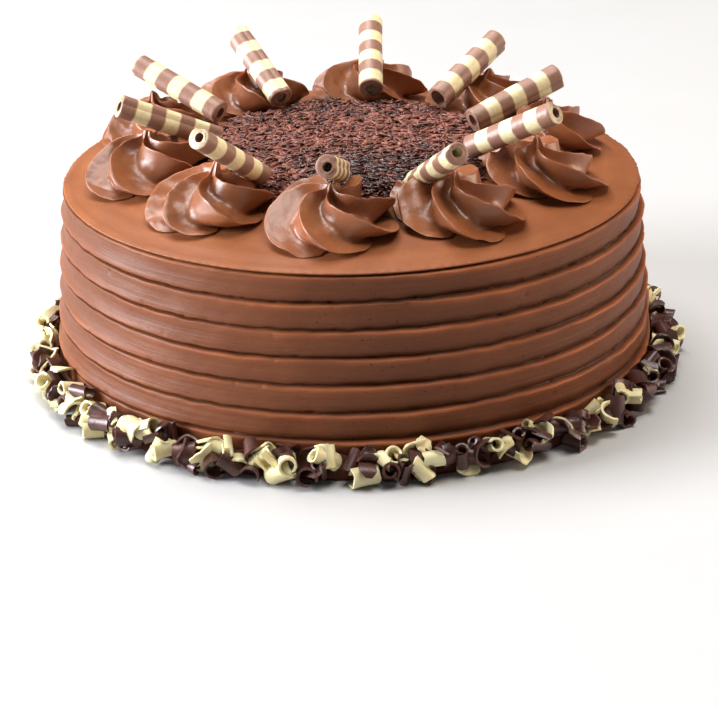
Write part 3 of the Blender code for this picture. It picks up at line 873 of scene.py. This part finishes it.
def add_bed_core(material):
    """The mass of sprinkles under the loose ones, as lumpy relief."""
    draw = np.random.default_rng(5)
    angles, reaches = bed_reaches()
    rings = []
    for share in np.linspace(0.02, 1.0, BED_ROWS):
        radius = reaches * share
        height = bed_height(radius, reaches) - 0.5 * MM * smooth_step((1 - share) * 8)
        rings.append(around(radius, angles, height))
    rings = np.array(rings)
    rings[..., 2] += lumpy(draw, rings, BED_LUMPS)
    ground = top_height(np.hypot(rings[..., 0], rings[..., 1])) + 0.5 * GAP
    rings[..., 2] = np.maximum(pressed_by_rolls(rings)[..., 2], ground)
    under = rings[::-3].copy()
    under[..., 2] = ground[::-3] - 0.2 * MM
    points, faces = lofted(np.concatenate((rings, under)))
    return add_piece("sprinkle_core", points, faces, material)


def sprinkle_shape(sides, flat):
    """A rod along X of unit length and unit radius with tapered ends: its points and faces."""
    angle = np.linspace(0, 2 * np.pi, sides, endpoint=False)
    rings = []
    for place, size in SPRINKLE_PATH:
        ring = np.stack((place + 0 * angle, size * np.cos(angle), size * flat * np.sin(angle)), axis=-1)
        rings.append(ring)
    return lofted(np.array(rings))


def turn_matrices(heading, pitch, roll):
    """Rotations by a roll about X, then a pitch about Y, then a heading about Z, one for each piece."""
    one, zero = np.ones_like(heading), np.zeros_like(heading)

    def stack(*rows):
        return np.moveaxis(np.array(rows), -1, 0)

    ch, sh, cp, sp, cr, sr = (f(a) for a in (heading, pitch, roll) for f in (np.cos, np.sin))
    about_z = stack((ch, -sh, zero), (sh, ch, zero), (zero, zero, one))
    about_y = stack((cp, zero, sp), (zero, one, zero), (-sp, zero, cp))
    about_x = stack((one, zero, zero), (zero, cr, -sr), (zero, sr, cr))
    return about_z @ about_y @ about_x


def dark_share(places):
    """How much of the bed is dark sprinkles here: most of it at the front and right, and some at the back as
    painted shade from the rosettes behind it.
    """
    front = smooth_step((-0.008 - places[:, 1]) / 0.024)
    right = smooth_step((places[:, 0] + 0.034) / 0.030)
    # Painted shade: more dark sprinkles at the back, where the rosettes behind shade the bed
    back = smooth_step((places[:, 1] - 0.018) / 0.030)
    return 0.06 + 0.86 * front * right + 0.34 * back


def scatter_sprinkles(name, material, draw):
    """Sprinkles of one kind lying over one another on the bed, one joined mesh."""
    count, lengths, radii, sides, flat, rolled = SPRINKLES[name]
    angles, reaches = bed_reaches()
    tries = count * 6
    angle = draw.uniform(-np.pi, np.pi, tries)
    limit = np.interp(angle, angles, reaches, period=2 * np.pi)
    radius = BED_RADIUS * np.sqrt(draw.uniform(0, 1, tries))
    places = around(radius, angle, 0 * angle)
    share = dark_share(places)
    keep = draw.uniform(0, 1, tries) < (share if name == "dark_sprinkles" else 1.15 - share)
    keep &= radius < limit + BED_OVERHANG * MM
    index = np.flatnonzero(keep)[:count]
    places, radius, limit = places[index], radius[index], limit[index]
    total = len(index)
    length = draw.uniform(*lengths, total) * MM
    thick = draw.uniform(*radii, total) * MM
    layer = draw.uniform(*BED_LAYERS, total) * MM
    places[:, 2] = bed_height(np.minimum(radius, limit), limit) + layer
    for row in ROLLS:
        start, along = roll_axis(row)
        reach = np.clip((places - start) @ along, 0.0, ROLL_LENGTH)
        clear = np.linalg.norm(places - start - reach[:, None] * along, axis=-1) - row[-1]
        places[:, 2] -= np.where(clear < STICK_CLEARANCE * MM, STICK_CLEARANCE * MM, 0.0)
    heading, pitch = draw.uniform(0, 2 * np.pi, total), draw.normal(0, 0.16, total)
    turns = turn_matrices(heading, pitch, draw.uniform(0, np.pi, total) * rolled)
    shape, faces = sprinkle_shape(sides, flat)
    bend = draw.normal(0, 0.10, total)
    local = np.repeat(shape[None], total, axis=0)
    local[..., 1] *= thick[:, None]
    local[..., 2] *= thick[:, None]
    local[..., 1] += (local[..., 0] ** 2 - 0.1) * (bend * length)[:, None]
    local[..., 0] *= length[:, None]
    points = local @ np.swapaxes(turns, 1, 2) + places[:, None]
    firsts = range(0, total * len(shape), len(shape))
    all_faces = [[first + corner for corner in face] for first in firsts for face in faces]
    return add_piece(name, points, all_faces, material)


def add_sprinkles(materials):
    draw = np.random.default_rng(8)
    pieces = [add_bed_core(materials["sprinkle_core"])]
    pieces += [scatter_sprinkles(name, materials[name], draw) for name in SPRINKLES]
    for piece in pieces:
        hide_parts("sprinkle_bed")


# The ring of curls


def curl_shape(draw):
    """One shaved curl about the X axis: a roll, a half-open petal or a bent flake, as rings of points."""
    kind = draw.choice(tuple(CURL_KINDS), p=[row[0] for row in CURL_KINDS.values()])
    radius, arc, half_width = (
        {name: draw.uniform(*row[column]) for name, row in CURL_KINDS.items()}[kind] for column in (1, 2, 3)
    )
    radius, half_width, arc = radius * MM, half_width * MM, math.radians(arc)
    steps = 7 if kind == "flake" else 14
    slip = draw.uniform(-1.2, 1.2) * MM
    taper = draw.uniform(0.35, 0.95) if kind != "roll" else draw.uniform(0.75, 1.0)
    cup = draw.uniform(0.0, 0.5) * MM
    section = np.array(CURL_SECTION)
    share = np.linspace(0, 1, steps + 1)
    rings = []
    for s in share:
        angle = arc * (s - 0.5)
        reach = radius - (CURL_SHEET * 1.25) * max(0.0, s * arc / (2 * math.pi) - 0.05) * (kind == "roll")
        half = half_width * (taper + (1 - taper) * math.sin(math.pi * min(1.0, s * 1.1)) ** 0.7)
        half *= 1.0 + 0.05 * math.sin(17 * s + 40 * half_width / MM)
        sheet = CURL_SHEET * (0.55 + 0.45 * math.sin(math.pi * np.clip(s, 0.06, 0.94)) ** 0.5)
        x = section[:, 0] * half + slip * (s - 0.5)
        out = reach - sheet * (1 - section[:, 1]) + cup * (section[:, 0] ** 2)
        rings.append(np.stack((x, out * math.sin(angle), out * math.cos(angle)), axis=-1))
    return np.array(rings)


def heap_limit(distance):
    """How high the heap may stand this far from the cake's axis."""
    inner = side_radius(0.0)
    share = np.clip((distance - inner) / (HEAP_EDGE - inner), 0.0, 1.0)
    return HEAP_TOP - HEAP_FALL * share**HEAP_POWER


def drop_height(heap, points):
    """How high a piece must lie to rest on the heap, and the cells that it covers."""
    cells = np.floor((points[:, :2] + HEAP_REACH) / HEAP_CELL).astype(int)
    cells = np.clip(cells, 0, heap.shape[0] - 1)
    return float(np.max(heap[cells[:, 0], cells[:, 1]] - points[:, 2])), cells


def place_curl(heap, rings, azimuth, distance, draw):
    """The lowest lie of a few turns tried at random for this curl, on the heap and leaning on it."""
    best = None
    out = direction(azimuth)
    for _ in range(CURL_TRIES):
        most_turns = (math.pi, CURL_PITCH, math.pi)
        turn = turn_matrices(*(np.array([draw.uniform(-1, 1) * most]) for most in most_turns))[0]
        points = rings.reshape(-1, 3) @ turn.T
        moved = points + out * distance
        nearest = np.hypot(moved[:, 0], moved[:, 1]).min()
        moved = moved + out * max(0.0, side_radius(0.004) + GAP - nearest)
        if np.hypot(moved[:, 0], moved[:, 1]).max() > CURL_REACH:
            continue
        dense = np.concatenate((moved, 0.5 * (moved[:-1] + moved[1:])))
        height, cells = drop_height(heap, dense)
        height -= draw.uniform(*CURL_SINK) * MM
        top = heap_limit(np.hypot(*moved[:, :2].mean(axis=0))) * draw.uniform(*CURL_TOPS)
        height = min(height, top - float(moved[:, 2].max()))
        height = max(height, -float(moved[:, 2].min()))
        score = height + float(moved[:, 2].max()) - top
        if best is None or score < best[0]:
            best = (score, height, moved, dense, cells)
    if best is None or best[0] > CURL_OVER_TOP * MM:
        return None
    _, height, moved, dense, cells = best
    np.maximum.at(heap, (cells[:, 0], cells[:, 1]), dense[:, 2] + height)
    return (moved + (0, 0, height)).reshape(rings.shape)


def is_dark(azimuth, draw):
    """Under half of the curls on the left are dark, and most of those on the right."""
    return draw.uniform() < DARK_CURLS + DARK_CURLS_SWING * math.sin(math.radians(azimuth - 10))


def add_curls(materials):
    draw = np.random.default_rng(21)
    size = int(2 * HEAP_REACH / HEAP_CELL)
    heap = np.zeros((size, size))
    gathered = {"dark_curls": ([], []), "ivory_curls": ([], [])}
    places = []
    for distance, count in CURL_TIERS:
        for azimuth in (np.arange(count) + draw.uniform(-0.4, 0.4, count)) * 360 / count:
            places.append((azimuth, distance + draw.normal(0, 0.7) * MM))
    for azimuth, distance in places:
        rings = place_curl(heap, curl_shape(draw), azimuth, distance, draw)
        if rings is None:
            continue
        points, faces = lofted(rings)
        all_points, all_faces = gathered["dark_curls" if is_dark(azimuth, draw) else "ivory_curls"]
        start = sum(len(part) for part in all_points)
        all_points.append(points)
        all_faces.extend([[corner + start for corner in face] for face in faces])
    for name, (points, faces) in gathered.items():
        piece = add_piece(name, np.concatenate(points), faces, materials[name])
        piece.data.set_sharp_from_angle(angle=math.radians(CURL_SHARP))
        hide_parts("chocolate_curls")


def add_curl_core(material):
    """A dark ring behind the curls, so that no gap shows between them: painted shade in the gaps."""
    draw = np.random.default_rng(9)
    angles = np.linspace(0, 2 * np.pi, CORE_COLUMNS, endpoint=False)
    rings = []
    for distance, height in CORE_PROFILE:
        radius = distance + CORE_ROUGH * MM * ripple(draw, angles, 20, 110) * (height > MM)
        level = height + CORE_ROUGH * MM * ripple(draw, angles, 20, 110) * (height > MM)
        rings.append(around(radius, angles, level))
    faces = ring_faces(len(CORE_PROFILE), CORE_COLUMNS).tolist()
    piece = add_piece("curl_gap_shade", np.array(rings), faces, material)
    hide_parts("chocolate_curls")


# Stage, light and camera


def add_floor(material):
    corners = [(x * FLOOR_HALF, y * FLOOR_HALF, 0) for x, y in ((-1, -1), (1, -1), (1, 1), (-1, 1))]
    mesh = bpy.data.meshes.new("floor")
    mesh.from_pydata(corners, [], [(0, 1, 2, 3)])
    mesh.materials.append(material)
    floor = add_object("floor", mesh)


def add_light(name, azimuth, elevation, size, power, colour):
    """A square soft light that points at the middle of the cake."""
    light = bpy.data.lights.new(name, "AREA")
    light.size = size
    light.energy = power
    light.color = colour
    obj = add_object(name, light)
    rise = math.radians(elevation)
    away = direction(azimuth) * math.cos(rise) + (0, 0, math.sin(rise))
    obj.location = Vector(away * LIGHT_DISTANCE) + Vector((0, 0, LIT_HEIGHT))
    obj.rotation_euler = Vector(away).to_track_quat("Z", "Y").to_euler()


def add_world():
    world = bpy.data.worlds.new("pale")
    bpy.context.scene.world = world
    world.use_nodes = True
    tree = world.node_tree
    coordinates = tree.nodes.new("ShaderNodeTexCoord")
    split = tree.nodes.new("ShaderNodeSeparateXYZ")
    tree.links.new(coordinates.outputs["Generated"], split.inputs["Vector"])
    sky = ramp(tree, split.outputs["Z"], SKY_SHADES)
    tree.links.new(sky, tree.nodes["Background"].inputs["Color"])


def add_camera():
    data = bpy.data.cameras.new("camera")
    data.sensor_width = SENSOR_WIDTH
    data.lens = FOCAL_PIXELS / IMAGE_WIDTH * data.sensor_width
    camera = add_object("camera", data)
    height = CREASE_HEIGHT + CAMERA_DISTANCE * math.tan(CAMERA_ELEVATION)
    turn = Matrix.Rotation(CAMERA_YAW, 4, "Z") @ Matrix.Rotation(math.pi / 2 - CAMERA_PITCH, 4, "X")
    turn = turn @ Matrix.Rotation(CAMERA_ROLL, 4, "Z")
    camera.matrix_world = Matrix.Translation((0, -CAMERA_DISTANCE, height)) @ turn
    bpy.context.scene.camera = camera


def main():
    add_cake(icing_material("combed_icing", True))
    piped = icing_material("piped_icing", False)
    for number in range(len(ROSETTES)):
        add_rosette(number, piped)
    stripes = stripe_material()
    for number, (row, looks) in enumerate(zip(ROLLS, ROLL_LOOKS), start=1):
        add_roll(number, row, looks, stripes)
    materials = {name: chocolate_material(name) for name in CHOCOLATES}
    add_sprinkles(materials)
    add_curls(materials)
    add_curl_core(materials["sprinkle_core"])
    bpy.context.scene.view_settings.view_transform = "Standard"
    add_floor(floor_material())
    for light in LIGHTS:
        add_light(*light)
    add_world()
    add_camera()


main()
